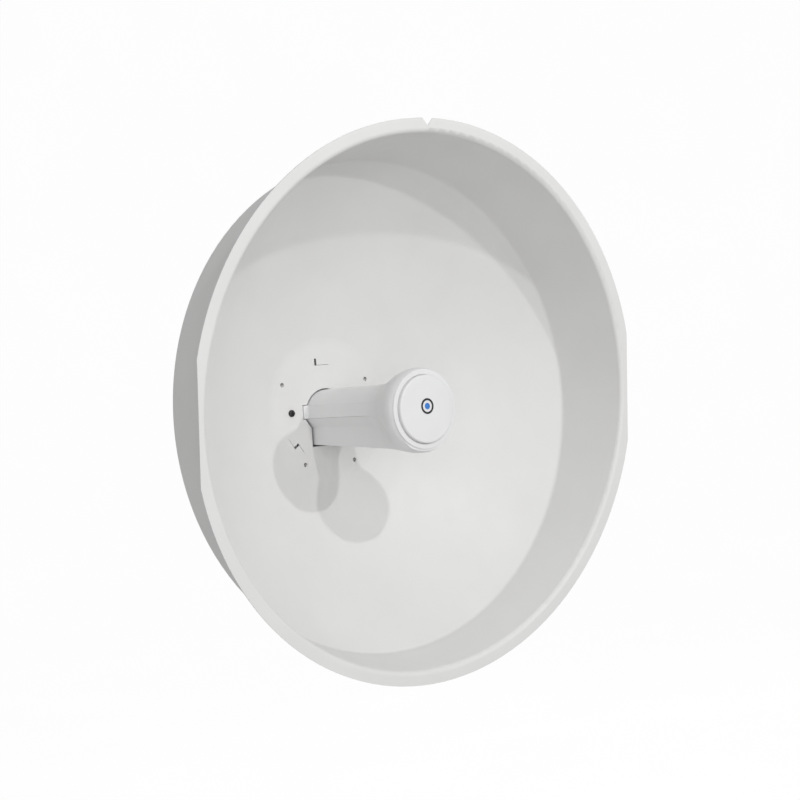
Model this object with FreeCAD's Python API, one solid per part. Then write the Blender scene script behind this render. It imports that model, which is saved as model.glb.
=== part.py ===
import FreeCAD, Part
import math
import os

# Outdoor wireless bridge: a shrouded dish reflector with the radio and its antenna in the
# feed tube, a rear housing that holds the feed, a tilting bracket and a pole clamp.
# Millimetres. +Z is up, the dish looks along -Y, the origin is on the pole's axis at the
# height of the tilt pivot, which is also the height of the feed's axis. The rim's plane
# leans forward at the top, so the wall is deeper there and shades the bowl like a hood.

V = FreeCAD.Vector

# --- reflector -------------------------------------------------------------------------
RIM_R = 270.0            # outer radius of the rim flange
RIM_TILT = 4.86          # degrees that the rim's plane leans forward at the top
DISH_Z = 4.6             # height of the reflector's axis above the feed's
FLAT_X = 264.1           # the two side flats of the flange
FLANGE = 13.5            # width of the flange
DISH_DEPTH = 180.2       # rim's centre to the vertex of the curve
WALL_DEPTH = 75.5        # rim's centre to the crease between wall and reflector
CREASE_R = 242.0         # radius of that crease
SHEET = 1.0
VERTEX_Y = -126.0
RIM_Y = VERTEX_Y - DISH_DEPTH
CREASE_Y = RIM_Y + WALL_DEPTH
FOCAL = CREASE_R ** 2 / (4 * (DISH_DEPTH - WALL_DEPTH))
HUB_Y = -134.6           # front face of the flat hub in the middle of the curve
HUB_BACK = HUB_Y + SHEET
HUB_R = math.sqrt(4 * FOCAL * (VERTEX_Y - HUB_Y))
HUB_BEND = 40.0
CREASE_BEND = 6.0
RIM_BEND = 5.0
DRAFT = math.atan((RIM_R - FLANGE - CREASE_R) / WALL_DEPTH)
LIP_DEEP = 8.0           # how far the bent lip reaches down the wall
BEND_UP = 7.0            # how far the crease's bend reaches up the wall
NOTCH_DEPTH = 7.3
NOTCH_HALF = 6.75
NUT_HOLES = ((53.0, 33.0), (-53.0, 33.0), (31.3, -49.6), (-31.3, -49.6))
HOUSING_SCREW = (44.2, 3.7)    # x, z of the screws beside the feed
TAB_WIDE = 7.0           # lanced earthing tabs, each cut by a slot and slits from its ends
TAB_SLOT = 2.6
TAB_SLIT = 0.4
# x, z and turn of each slot, then how far the slits reach from its low and high ends
TABS = ((-9.5, 54.0, 0.0, 16.5, 0.0),
        (-40.6, -29.9, 57.0, -11.0, 11.0),
        (40.6, -29.9, -57.0, 11.0, -11.0))

# --- feed ------------------------------------------------------------------------------
RING_Y = RIM_Y + 13.5    # front face of the bezel ring
RING_R = 38.5
CAP_R = 33.0
CAP_PROUD = 4.0
BADGE_Z = 2.6
BARREL_R = 42.0
TUBE_HEAD_Y = RING_Y + 56.0
TUBE_BASE_Y = HUB_Y + 11.6
TUBE_R = (26.2, 25.2)    # at the head end and at the base
TUBE_LOW = (-34.8, -29.6)
TUBE_SIDE = (19.6, 18.0)
FACET_Z = 10.5
PART_Z = -3.0            # parting line of the two shells
CHAMFER_Z = -13.0
WALL = 2.2
LUG_X = 29.5
HOLE_GAP = 2.5           # gap between the tube and the hole in the reflector
ARCH_GAP = 1.3           # the same over the tube's round top
TAIL_X = 17.5
TAIL_LOW = -28.0
TAIL_TOP = 19.0
TAIL_WALL = 2.0
TAIL_END_Y = -104.0
END_CAP = 2.2
SEAM = 0.1

# --- electronics -----------------------------------------------------------------------
BOARD_TOP = -12.4
BOARD_THICK = 1.6
BOARD_X = 15.2
BOARD_Y = (-222.0, TAIL_END_Y - 0.5)
JACK_X = 8.0
JACK_TOP = 1.1
JACK_DEEP = 21.0
BOARD_SCREWS = ((-12.6, -214.0), (12.6, -214.0), (-12.6, -138.0), (12.6, -138.0))
CAP_SCREWS = ((-12.6, 13.0), (12.6, 13.0))
LED_X = (9.8, 11.8, 13.8)
RESET_X = -12.0
RESET_Z = -8.6
RESET_R = 2.0

# --- rear housing ----------------------------------------------------------------------
HOUSE_X = 38.0
HOUSE_LOW = -40.0
HOUSE_TOP = 38.0
HOUSE_BACK = -84.0
HOUSE_WALL = 2.5
SLEEVE_GAP = 0.8
SLEEVE_END = TAIL_END_Y + END_CAP + 0.3
GASKET = 2.0
HOUSE_FRONT = HUB_BACK + GASKET
BOSS_R = 2.9
LATCH_Y = (-116.0, -112.0)
LATCH_TRAVEL = 3.0
LATCH_STEM = 6.5         # half width of the stem under the button
SLEEVE_FRONT = -122.7
WINDOW = (-15.0, 15.0, -24.0, 10.0)   # chamber behind the socket: x, x, z, z
CABLE_WAY = 4.2                       # half width of the channel under the chamber
CABLE_Y = -97.0                       # where that channel begins
COVER_AXIS = (-81.5, 17.0)            # y, z of the cover's hinge pin
PIN_R = 1.0
RUN_FIT = 0.06

# --- brackets and pole clamp -----------------------------------------------------------
PLATE = 2.5
PIVOT_Y = -52.0
LOCK_R = 36.0            # lock bolts stand this far above the pivot
TILT = 20.0              # degrees each way
EAR_IN = 47.3            # inner face of the tilt bracket's ears
SIDE_OUT = 47.0          # outer face of the pole bracket's sides
SIDE_FRONT = -76.0
SIDE_HALF = 46.0
WEB_Y = -30.0
POLE_R = 24.15           # 48.3 mm mast
CHEEK_X = 30.0
CHEEK_Z = 36.0
GRIP_EDGE = 6.0          # the saddles stop this far from the pole's middle plane
JAW_Y = 28.0
JAW_Z = 30.0
BOLT_X = 34.0
BOLT_Z = 16.0
BOLT_R = 4.0
BOLT_END = 75.0
M8_FLAT = 13.0
M8_NUT = 6.5
WASHER_R = 8.0
WASHER = 1.6
STUD_OFF = 3.0           # clinch nuts hold the tilt bracket this far behind the sheet
BASE_Y = HUB_BACK + STUD_OFF


# --- small helpers ---------------------------------------------------------------------
def box(x0, x1, y0, y1, z0, z1):
    return Part.makeBox(x1 - x0, y1 - y0, z1 - z0, V(x0, y0, z0))


def rod(radius, x, z, y0, y1):
    """Cylinder along Y."""
    return Part.makeCylinder(radius, y1 - y0, V(x, y0, z), V(0, 1, 0))


def cross_rod(radius, y, z, x0, x1):
    """Cylinder along X."""
    return Part.makeCylinder(radius, x1 - x0, V(x0, y, z), V(1, 0, 0))


def post(radius, x, y, z0, z1):
    """Cylinder along Z."""
    return Part.makeCylinder(radius, z1 - z0, V(x, y, z0), V(0, 0, 1))


def ring(outer, inner, x, z, y0, y1):
    return rod(outer, x, z, y0, y1).cut(rod(inner, x, z, y0 - 1, y1 + 1))


def cross_ring(outer, inner, y, z, x0, x1):
    return cross_rod(outer, y, z, x0, x1).cut(cross_rod(inner, y, z, x0 - 1, x1 + 1))


def union(shapes):
    return shapes[0].multiFuse(list(shapes[1:])).removeSplitter()


def group(shapes):
    return Part.makeCompound(list(shapes))


def mirrored(shape):
    """The shape and its mirror image in the middle plane."""
    return group([shape, shape.mirror(V(0, 0, 0), V(1, 0, 0))])


def line(a, b):
    return Part.LineSegment(a, b).toShape()


def arc(a, mid, b):
    return Part.Arc(a, mid, b).toShape()


def prism(points, start, along):
    """Solid from a closed polygon of points, moved to start and pushed along a vector."""
    wire = Part.makePolygon([p + start for p in points] + [points[0] + start])
    return Part.Face(wire).extrude(along)


def turned(points, bends=None):
    """Solid of revolution about Y from (radius, y) corners, some of them rounded."""
    bends = bends or {}
    corners = [V(r, y, 0) for r, y in points]
    stops = []
    arcs = []
    for i, here in enumerate(corners):
        if i in bends:
            after = corners[(i + 1) % len(corners)]
            start, mid, end = corner(corners[i - 1], here, after, bends[i])
            arcs.append(arc(start, mid, end))
            stops.append((start, end))
        else:
            stops.append((here, here))
    lines = []
    for (_, leave), (arrive, _) in zip(stops, stops[1:] + stops[:1]):
        if leave.distanceToPoint(arrive) > 1e-6:
            lines.append(line(leave, arrive))
    wire = Part.Wire(Part.__sortEdges__(lines + arcs))
    return Part.Face(wire).revolve(V(0, 0, 0), V(0, 1, 0), 360)


def corner(before, here, after, radius):
    """Start, middle and end of the arc that rounds a corner."""
    a = (before - here).normalize()
    b = (after - here).normalize()
    half = a.getAngle(b) / 2
    reach = radius / math.tan(half)
    bisector = (a + b).normalize()
    centre = here + bisector * (radius / math.sin(half))
    return here + a * reach, centre - bisector * radius, here + b * reach


def hexagon(flat):
    """Corners of a hexagon in the XZ plane, given the width across its flats."""
    reach = flat / math.sqrt(3)
    turns = [math.radians(60 * i + 30) for i in range(6)]
    return [V(reach * math.cos(t), 0, reach * math.sin(t)) for t in turns]


def hex_nut(x, z, y0, height, flat, bore):
    body = prism(hexagon(flat), V(x, y0, z), V(0, height, 0))
    rounding = rod(flat / 2 * 1.09, x, z, y0, y0 + height)
    return body.common(rounding).cut(rod(bore, x, z, y0 - 1, y0 + height + 1))


def across(shape, y, z):
    """Turns a fastener made along Y at the origin to lie along +X at (y, z)."""
    shape.rotate(V(0, 0, 0), V(0, 0, 1), -90)
    shape.translate(V(0, y, z))
    return shape


def rounded_x(shape, radius):
    """Rounds the edges that run along X."""
    edges = [e for e in shape.Edges if e.BoundBox.XLength > 1 and e.BoundBox.YLength < 0.01]
    return shape.makeFillet(radius, edges)


def rounded_y(shape, radius):
    """Rounds the edges that run along Y."""
    edges = [e for e in shape.Edges if e.BoundBox.YLength > 1 and e.BoundBox.XLength < 0.01]
    return shape.makeFillet(radius, edges)


# --- reflector surface -----------------------------------------------------------------
def bowl_point(r, behind):
    """Point at a distance behind the curved front surface, measured square to it."""
    slope = r / (2 * FOCAL)
    length = math.sqrt(1 + slope * slope)
    front = VERTEX_Y - r * r / (4 * FOCAL)
    return V(r + behind * slope / length, front + behind / length, 0)


def bowl_way(r):
    """Direction of the paraboloid's section at a radius, away from the axis."""
    return V(1, -r / (2 * FOCAL), 0).normalize()


def bowl_curve(begin, end, behind):
    """Curve of the paraboloid's section between two points near it."""
    steps = 12
    radii = [begin.x + (end.x - begin.x) * i / steps for i in range(1, steps)]
    curve = Part.BSplineCurve()
    curve.interpolate([begin] + [bowl_point(r, behind) for r in radii] + [end])
    return curve.toShape()


def spun(edges):
    """Solid swept by a section about the Y axis."""
    face = Part.Face(Part.Wire(Part.__sortEdges__(edges)))
    return face.revolve(V(0, 0, 0), V(0, 1, 0), 360)


def raised(shape):
    """Moves a shape made about the Y axis up to the reflector's own axis."""
    shape.translate(V(0, 0, DISH_Z))
    return shape


def meeting(p, d, q, e):
    """Where the line from p along d meets the line from q along e."""
    scale = ((q.x - p.x) * e.y - (q.y - p.y) * e.x) / (d.x * e.y - d.y * e.x)
    return p + d * scale


def wall_way():
    """Direction of the wall's section, towards the rim."""
    return V(math.sin(DRAFT), -math.cos(DRAFT), 0)


def bowl_side(behind):
    """Section of the flat hub, the paraboloid and the bend where the wall begins."""
    centre = V(0, HUB_Y + behind, 0)
    way = bowl_way(HUB_R)
    edge = meeting(centre, V(1, 0, 0), bowl_point(HUB_R, behind), way)
    leave, bent, begin = corner(centre, edge, edge + way, HUB_BEND + behind)
    foot = V(CREASE_R + behind / math.cos(DRAFT), CREASE_Y, 0)
    way = bowl_way(CREASE_R)
    bend = meeting(bowl_point(CREASE_R, behind), way, foot, wall_way())
    top = foot + wall_way() * (BEND_UP / math.cos(DRAFT))
    start, mid, end = corner(bend - way, bend, top, CREASE_BEND + behind)
    return [line(centre, leave), arc(leave, bent, begin), bowl_curve(begin, start, behind),
            arc(start, mid, end), line(end, top)]


def lip_side(behind):
    """Section of the flange and of its bend, as if the rim stood square to the axis."""
    foot = V(RIM_R - FLANGE + behind / math.cos(DRAFT), RIM_Y, 0)
    tip = V(RIM_R, RIM_Y + behind, 0)
    bend = meeting(foot, wall_way(), tip, V(1, 0, 0))
    low = foot - wall_way() * (LIP_DEEP / math.cos(DRAFT))
    start, mid, end = corner(low, bend, tip, RIM_BEND - behind)
    return [line(low, start), arc(start, mid, end), line(end, tip)]


def leaned(shape):
    """Leans a shape made about the Y axis forward with the rim's plane."""
    shape.rotate(V(0, RIM_Y, 0), V(1, 0, 0), RIM_TILT)
    return shape


def wall_cone(behind):
    """Solid between the top of the crease's bend and the foot of the leaning lip."""
    spread = behind / math.cos(DRAFT)
    lip_r = RIM_R - FLANGE + spread - LIP_DEEP * math.tan(DRAFT)
    low_r = CREASE_R + spread + BEND_UP * math.tan(DRAFT)
    lip = leaned(Part.Wire(Part.makeCircle(lip_r, V(0, RIM_Y + LIP_DEEP, 0), V(0, 1, 0))))
    low = Part.Wire(Part.makeCircle(low_r, V(0, CREASE_Y - BEND_UP, 0), V(0, 1, 0)))
    return Part.makeLoft([low, lip], True, True)


def tube_section(y, at, grow=0.0):
    """Outline of the feed tube's section; at is 0 at the head end and 1 at the base."""
    radius = TUBE_R[0] + (TUBE_R[1] - TUBE_R[0]) * at + grow
    low = TUBE_LOW[0] + (TUBE_LOW[1] - TUBE_LOW[0]) * at - grow
    side = TUBE_SIDE[0] + (TUBE_SIDE[1] - TUBE_SIDE[0]) * at + grow
    facet_x = math.sqrt(radius ** 2 - FACET_Z ** 2)
    part_x = math.sqrt(radius ** 2 - PART_Z ** 2)
    corners = [
        V(facet_x, y, FACET_Z),
        V(part_x, y, PART_Z),
        V(side, y, CHAMFER_Z),
        V(side, y, low),
    ]
    left = [V(-p.x, p.y, p.z) for p in reversed(corners)]
    path = corners + left
    edges = [line(a, b) for a, b in zip(path, path[1:])]
    edges.append(arc(path[-1], V(0, y, radius), path[0]))
    return Part.Wire(edges)


def tube_solid(y0, y1, grow=0.0):
    head = tube_section(y0, (y0 - TUBE_HEAD_Y) / (TUBE_BASE_Y - TUBE_HEAD_Y), grow)
    base = tube_section(y1, (y1 - TUBE_HEAD_Y) / (TUBE_BASE_Y - TUBE_HEAD_Y), grow)
    return Part.makeLoft([head, base], True, True)


def joined(inner, outer):
    """Edges of a closed section between an inner and an outer side."""
    starts = line(inner[0].Vertexes[0].Point, outer[0].Vertexes[0].Point)
    ends = line(inner[-1].Vertexes[-1].Point, outer[-1].Vertexes[-1].Point)
    return inner + outer + [starts, ends]


def dish_reflector():
    bowl = spun(joined(bowl_side(0), bowl_side(SHEET)))
    wall = wall_cone(SHEET).cut(wall_cone(0))
    lip = spun(joined(lip_side(0), lip_side(SHEET)))
    reach = RIM_R + 5
    point = RIM_R - NOTCH_DEPTH
    wide = NOTCH_HALF * (reach - point) / NOTCH_DEPTH
    vee = [V(0, 0, point), V(wide, 0, reach), V(-wide, 0, reach)]
    lip = lip.cut([
        box(FLAT_X, reach, RIM_Y - 5, RIM_Y + 5, -reach, reach),
        box(-reach, -FLAT_X, RIM_Y - 5, RIM_Y + 5, -reach, reach),
        prism(vee, V(0, RIM_Y - 5, 0), V(0, 5 + 3 * SHEET, 0)),
    ])
    dish = raised(union([bowl, wall, leaned(lip)]))
    y0 = HUB_Y - 10
    y1 = HUB_Y + 10
    cuts = [feed_hole(y0, y1)]
    cuts += [rod(2.25, x, z, y0, y1) for x, z in NUT_HOLES]
    x, z = HOUSING_SCREW
    cuts += [rod(2.2, side, z, y0, y1) for side in (-x, x)]
    for tab in TABS:
        cuts += tab_cuts(y0, y1, *tab)
    return dish.cut(cuts)


def feed_hole(y0, y1):
    """Keyed hole for the tube and the two lugs at its base."""
    wide = Part.Face(tube_section(y0, 1.0, HOLE_GAP)).extrude(V(0, y1 - y0, 0))
    close = Part.Face(tube_section(y0, 1.0, ARCH_GAP)).extrude(V(0, y1 - y0, 0))
    below = wide.common(box(-60, 60, y0, y1, -60, PART_Z))
    above = close.common(box(-60, 60, y0, y1, PART_Z, 60))
    lug = box(0, LUG_X + 0.25, y0, y1, PART_Z - 0.6, FACET_Z + 0.6)
    return union([below, above, lug, lug.mirror(V(0, 0, 0), V(1, 0, 0))])


def tab_cuts(y0, y1, x, z, turn, low_reach, high_reach):
    """Slot at a tab's free edge and the slits from its ends."""
    half = TAB_WIDE / 2
    cuts = [box(-TAB_SLOT / 2, TAB_SLOT / 2, y0, y1, -half, half)]
    for low, reach in ((-half, low_reach), (half - TAB_SLIT, high_reach)):
        if reach:
            cuts.append(box(min(0, reach), max(0, reach), y0, y1, low, low + TAB_SLIT))
    for cut in cuts:
        cut.rotate(V(0, 0, 0), V(0, 1, 0), turn)
        cut.translate(V(x, 0, z))
    return cuts


# --- tilt bracket and its fasteners ----------------------------------------------------
def tilt_bracket():
    base = rounded_block(-62, 62, BASE_Y, BASE_Y + PLATE, -60, 62, 10)
    gap_x = HOUSE_X + 1.5
    boss_z = HOUSING_SCREW[1]
    base = base.cut([
        box(-gap_x, gap_x, -200, -50, HOUSE_LOW - 1.5, HOUSE_TOP + 1.5),
        box(-EAR_IN + 0.05, EAR_IN - 0.05, -200, -50, boss_z - 6, boss_z + 6),
    ])
    base = base.cut([rod(2.7, x, z, -200, -50) for x, z in NUT_HOLES])
    outline = [(BASE_Y, -46), (BASE_Y, 44), (-44, 45), (-37, 38), (-36, -14), (-42, -20), (-70, -26)]
    points = [V(0, y, z) for y, z in outline]
    ear = prism(points, V(EAR_IN, 0, 0), V(PLATE, 0, 0))
    ear = ear.cut([
        cross_rod(7, BASE_Y + PLATE, NUT_HOLES[0][1], 0, 100),
        cross_rod(BOLT_R + RUN_FIT, PIVOT_Y, 0, 0, 100),
        cross_rod(BOLT_R + 0.1, PIVOT_Y, LOCK_R, 0, 100),
        cross_rod(2.1, -92, 26, 0, 100),
        rounded_x(box(0, 100, -112, -80, -14, 14), 6),
    ])
    return union([base, ear, ear.mirror(V(0, 0, 0), V(1, 0, 0))])


def clinch_nuts():
    return group([ring(5.0, 2.0, x, z, HUB_BACK, BASE_Y) for x, z in NUT_HOLES])


def bracket_screws():
    screws = []
    seat = BASE_Y + PLATE
    for x, z in NUT_HOLES:
        head = rod(4.6, x, z, seat, seat + 3.2)
        socket = prism(hexagon(4.0), V(x, seat + 1.4, z), V(0, 3, 0))
        shank = rod(1.95, x, z, BASE_Y - 1.6, seat + 1)
        screws.append(head.cut(socket).fuse(shank))
    return group(screws)


def ground_screw():
    bolt = union([cross_rod(3.6, -92, 26, 49.8 + 0.8, 53.4), cross_rod(2.0, -92, 26, 45.6, 51.5)])
    slot = box(52.2, 54, -96, -88, 25.5, 26.5)
    return bolt.cut(slot)


def ground_washer():
    return cross_ring(4.8, 2.1, -92, 26, EAR_IN + PLATE, EAR_IN + PLATE + 0.8)


def lock_bolts():
    """Carriage bolts through the ears that ride in the pole bracket's arc slots."""
    outside = EAR_IN + PLATE
    head = cross_rod(9, PIVOT_Y, LOCK_R, outside, outside + 4)
    head = head.makeFillet(3.2, [e for e in head.Edges if e.BoundBox.XMin > outside + 3])
    shank = cross_rod(BOLT_R, PIVOT_Y, LOCK_R, 33.5, outside + 1)
    return mirrored(union([head, shank]))


def inner_washer(z, x_out):
    return cross_ring(WASHER_R, BOLT_R + 0.1, PIVOT_Y, z, x_out - WASHER, x_out)


def inner_nut(z, x_out):
    nut = hex_nut(0, 0, 0, M8_NUT, M8_FLAT, BOLT_R + 0.03)
    nut = across(nut, PIVOT_Y, z)
    nut.translate(V(x_out - M8_NUT, 0, 0))
    return nut


def pivot_bolts():
    outside = EAR_IN + PLATE + 0.3
    head = prism(hexagon(M8_FLAT), V(0, 0, 0), V(0, 5.3, 0))
    head = head.common(rod(M8_FLAT / 2 * 1.09, 0, 0, 0, 5.3))
    head = across(head, PIVOT_Y, 0)
    head.translate(V(outside, 0, 0))
    shank = cross_rod(BOLT_R, PIVOT_Y, 0, 33.5, outside + 1)
    return mirrored(union([head, shank]))


# --- pole bracket and clamp ------------------------------------------------------------
def saddle(y0, y1, z0):
    """Pair of cheeks cut to the pole's radius, mirrored in the pivot's plane."""
    upper = box(-CHEEK_X, CHEEK_X, y0, y1, z0 - PLATE, z0)
    lower = box(-CHEEK_X, CHEEK_X, y0, y1, -z0, -z0 + PLATE)
    return [upper, lower]


def pole_bracket():
    web = box(-SIDE_OUT, SIDE_OUT, WEB_Y, WEB_Y + PLATE, -SIDE_HALF, SIDE_HALF)
    side = box(SIDE_OUT - PLATE, SIDE_OUT, SIDE_FRONT, WEB_Y + PLATE, -SIDE_HALF, SIDE_HALF)
    front = [e for e in side.Edges if abs(e.Vertexes[0].X - e.Vertexes[-1].X) > 1
             and e.Vertexes[0].Y < SIDE_FRONT + 1]
    side = side.makeFillet(12, front)
    side = side.cut([cross_rod(BOLT_R + RUN_FIT, PIVOT_Y, 0, 0, 100), arc_slot(LOCK_R)])
    cheeks = saddle(WEB_Y + PLATE - 1, -GRIP_EDGE, CHEEK_Z)
    body = union([web, side, side.mirror(V(0, 0, 0), V(1, 0, 0))] + cheeks)
    cuts = [post(POLE_R, 0, 0, -60, 60)]
    for x in (-BOLT_X, BOLT_X):
        for z in (-BOLT_Z, BOLT_Z):
            half = BOLT_R + 0.15
            cuts.append(box(x - half, x + half, WEB_Y - 1, -20, z - half, z + half))
    return body.cut(cuts)


def arc_slot(radius):
    """Curved slot about the pivot for the lock bolt's travel."""
    half = BOLT_R + 0.3
    band = cross_ring(radius + half, radius - half, PIVOT_Y, 0, 0, 100)
    reach = radius + 20
    spread = math.tan(math.radians(TILT + 0.4)) * reach
    wedge = [V(0, PIVOT_Y, 0), V(0, PIVOT_Y + spread, reach), V(0, PIVOT_Y - spread, reach)]
    slot = band.common(prism(wedge, V(0, 0, 0), V(100, 0, 0)))
    ends = []
    for sign in (-1, 1):
        turn = math.radians(TILT + 0.4) * sign
        y = PIVOT_Y + radius * math.sin(turn)
        ends.append(cross_rod(half, y, radius * math.cos(turn), 0, 100))
    return slot.fuse(ends)


def carriage_bolts():
    bolts = []
    for x in (-BOLT_X, BOLT_X):
        for z in (-BOLT_Z, BOLT_Z):
            head = rod(8.5, x, z, WEB_Y - 4.5, WEB_Y)
            head = head.makeFillet(3.5, [e for e in head.Edges
                                         if e.BoundBox.YMax < WEB_Y - 4])
            neck = box(x - BOLT_R, x + BOLT_R, WEB_Y - 1, WEB_Y + 4, z - BOLT_R, z + BOLT_R)
            shank = rod(BOLT_R, x, z, WEB_Y, BOLT_END)
            shank = shank.makeChamfer(0.8, [e for e in shank.Edges
                                            if e.BoundBox.YMin > BOLT_END - 1])
            bolts.append(union([head, neck, shank]))
    return group(bolts)


def clamp_jaw():
    web = rounded_block(-SIDE_OUT + 2, SIDE_OUT - 2, JAW_Y, JAW_Y + PLATE, -JAW_Z, JAW_Z, 8)
    body = union([web] + saddle(GRIP_EDGE, JAW_Y + 1, JAW_Z))
    cuts = [post(POLE_R, 0, 0, -60, 60)]
    cuts += [rod(BOLT_R + 0.3, x, z, 0, 60) for x in (-BOLT_X, BOLT_X) for z in (-BOLT_Z, BOLT_Z)]
    return body.cut(cuts)


def clamp_washers():
    y = JAW_Y + PLATE
    spots = [(x, z) for x in (-BOLT_X, BOLT_X) for z in (-BOLT_Z, BOLT_Z)]
    return group([ring(WASHER_R, BOLT_R + 0.2, x, z, y, y + WASHER) for x, z in spots])


def clamp_nuts():
    y = JAW_Y + PLATE + WASHER
    spots = [(x, z) for x in (-BOLT_X, BOLT_X) for z in (-BOLT_Z, BOLT_Z)]
    return group([hex_nut(x, z, y, M8_NUT, M8_FLAT, BOLT_R + RUN_FIT) for x, z in spots])


# --- rear housing ----------------------------------------------------------------------
def rounded_block(x0, x1, y0, y1, z0, z1, radius):
    """Box whose four edges along Y are rounded."""
    return rounded_y(box(x0, x1, y0, y1, z0, z1), radius)


def rear_housing():
    """White cover behind the reflector, open to the front."""
    w = HOUSE_WALL
    outer = rounded_block(-HOUSE_X, HOUSE_X, HOUSE_FRONT, HOUSE_BACK, HOUSE_LOW, HOUSE_TOP, 8)
    back = [e for e in outer.Edges if e.BoundBox.YMin > HOUSE_BACK - 0.01]
    outer = outer.makeFillet(2.5, back)
    inner = rounded_block(-HOUSE_X + w, HOUSE_X - w, HOUSE_FRONT - 1, HOUSE_BACK - w,
                          HOUSE_LOW + w, HOUSE_TOP - w, 5.5)
    x, z = HOUSING_SCREW
    bosses = [rod(BOSS_R, side, z, HOUSE_FRONT, -104) for side in (-x, x)]
    bosses += [box(-x, -HOUSE_X + 1, HOUSE_FRONT, -104, z - 2, z + 2),
               box(HOUSE_X - 1, x, HOUSE_FRONT, -104, z - 2, z + 2)]
    body = union([outer.cut(inner)] + bosses)
    x0, x1, z0, z1 = WINDOW
    stem = LATCH_STEM + 2
    body = body.cut([
        box(-stem, stem, LATCH_Y[0] - 3.5, LATCH_Y[1] + 3.5, HOUSE_TOP - 6, HOUSE_TOP + 1),
        box(x0, x1, HOUSE_BACK - w - 1, HOUSE_BACK + 1, z0, z1),
        box(-CABLE_WAY, CABLE_WAY, CABLE_Y, HOUSE_BACK + 1, HOUSE_LOW - 1, z0 + 1),
        rod(1.5, -x, z, HOUSE_FRONT - 1, -108),
        rod(1.5, x, z, HOUSE_FRONT - 1, -108),
    ])
    lugs = [hinge_lug(-13.6, -10.4), hinge_lug(10.4, 13.6)]
    body = union([body] + lugs)
    return body.cut(cross_rod(PIN_R, COVER_AXIS[0], COVER_AXIS[1], -20, 20))


def sleeve_block(y0, y1):
    """Block round the space that the feed's tail slides in."""
    reach = SLEEVE_GAP + HOUSE_WALL
    return box(-TAIL_X - reach, TAIL_X + reach, y0, y1, TAIL_LOW - reach, TAIL_TOP + reach)


def guide_sleeve():
    """Black sleeve in the housing, in two lengths, that the feed's tail slides into."""
    gap = SLEEVE_GAP
    front = LATCH_Y[0] - 1
    inside = HOUSE_X - HOUSE_WALL
    ribs = [box(-inside, -TAIL_X, SLEEVE_FRONT, front, -5, -2),
            box(TAIL_X, inside, SLEEVE_FRONT, front, -5, -2)]
    return union([sleeve_block(SLEEVE_FRONT, SLEEVE_END)] + ribs).cut([
        box(-TAIL_X - gap, TAIL_X + gap, SLEEVE_FRONT - 1, SLEEVE_END + 1,
            TAIL_LOW - gap, TAIL_TOP + gap),
        box(-50, 50, front, LATCH_Y[1] + 1, HOUSE_LOW, HOUSE_TOP),
    ])


def chamber_frame():
    """Black frame between the sleeve and the housing's back, round the plug's space."""
    x0, x1, z0, z1 = WINDOW
    return sleeve_block(SLEEVE_END, HOUSE_BACK - HOUSE_WALL).cut([
        box(x0, x1, SLEEVE_END - 1, HOUSE_BACK, z0, z1),
        box(-CABLE_WAY, CABLE_WAY, CABLE_Y, HOUSE_BACK, HOUSE_LOW, z0 + 1),
    ])


def hinge_lug(x0, x1):
    y, z = COVER_AXIS
    barrel = cross_rod(2.2, y, z, x0, x1)
    return barrel.fuse(box(x0, x1, HOUSE_BACK - 0.5, y, z - 2.2, z + 2.2))


def housing_gasket():
    y0 = HUB_BACK + 0.05
    y1 = HOUSE_FRONT - 0.05
    outer = rounded_block(-HOUSE_X, HOUSE_X, y0, y1, HOUSE_LOW, HOUSE_TOP, 8)
    inner = rounded_block(-HOUSE_X + 4, HOUSE_X - 4, y0 - 1, y1 + 1, HOUSE_LOW + 4, HOUSE_TOP - 4, 4)
    return outer.cut(inner)


def housing_screws():
    """Pan head screws, seen from the front beside the feed."""
    x, z = HOUSING_SCREW
    head = rod(3.5, x, z, HUB_Y - 2.4, HUB_Y)
    head = head.makeFillet(1.4, [e for e in head.Edges if e.BoundBox.YMax < HUB_Y - 2])
    head = head.cut([box(x - 2.1, x + 2.1, HUB_Y - 4, HUB_Y - 1.2, z - 0.5, z + 0.5),
                     box(x - 0.5, x + 0.5, HUB_Y - 4, HUB_Y - 1.2, z - 2.1, z + 2.1)])
    return mirrored(head.fuse(rod(1.45, x, z, HUB_Y - 1, HUB_Y + 20)))


def cable_grommet():
    """Slotted soft plug in the housing floor, at the foot of the cable's channel."""
    w = CABLE_WAY - 0.05
    floor = HOUSE_LOW + HOUSE_WALL
    plug = box(-w, w, CABLE_Y + 0.05, HOUSE_BACK - 0.1, HOUSE_LOW - 1.2, floor + 1)
    flange = box(-w - 2, w + 2, CABLE_Y - 1.5, HOUSE_BACK - HOUSE_WALL - 0.1, floor, floor + 1.8)
    y = (CABLE_Y + HOUSE_BACK) / 2
    hole = post(2.6, 0, y, HOUSE_LOW - 5, floor + 5)
    slit = box(-0.4, 0.4, y, HOUSE_BACK + 5, HOUSE_LOW - 5, floor + 5)
    return union([plug, flange]).cut([hole, slit])


def cover_pin():
    y, z = COVER_AXIS
    return cross_rod(PIN_R, y, z, -13.6, 13.6)


def latch_spring():
    """Square-wire compression spring between the latch frame and the housing floor."""
    low = HOUSE_LOW + HOUSE_WALL
    height = (TAIL_LOW - 0.3 - 4.7) - low
    wire = 0.7
    mean = 3.2
    y = sum(LATCH_Y) / 2
    z = low + wire / 2 + 0.05
    helix = Part.makeHelix(height / 2.6, height - wire - 0.1, mean)
    helix.translate(V(0, y, z))
    section = box(mean - wire / 2, mean + wire / 2, y - 1, y, z - wire / 2, z + wire / 2)
    face = max(section.Faces, key=lambda f: f.CenterOfMass.y)
    return Part.Wire(helix).makePipeShell([face.OuterWire], True, True)


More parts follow.
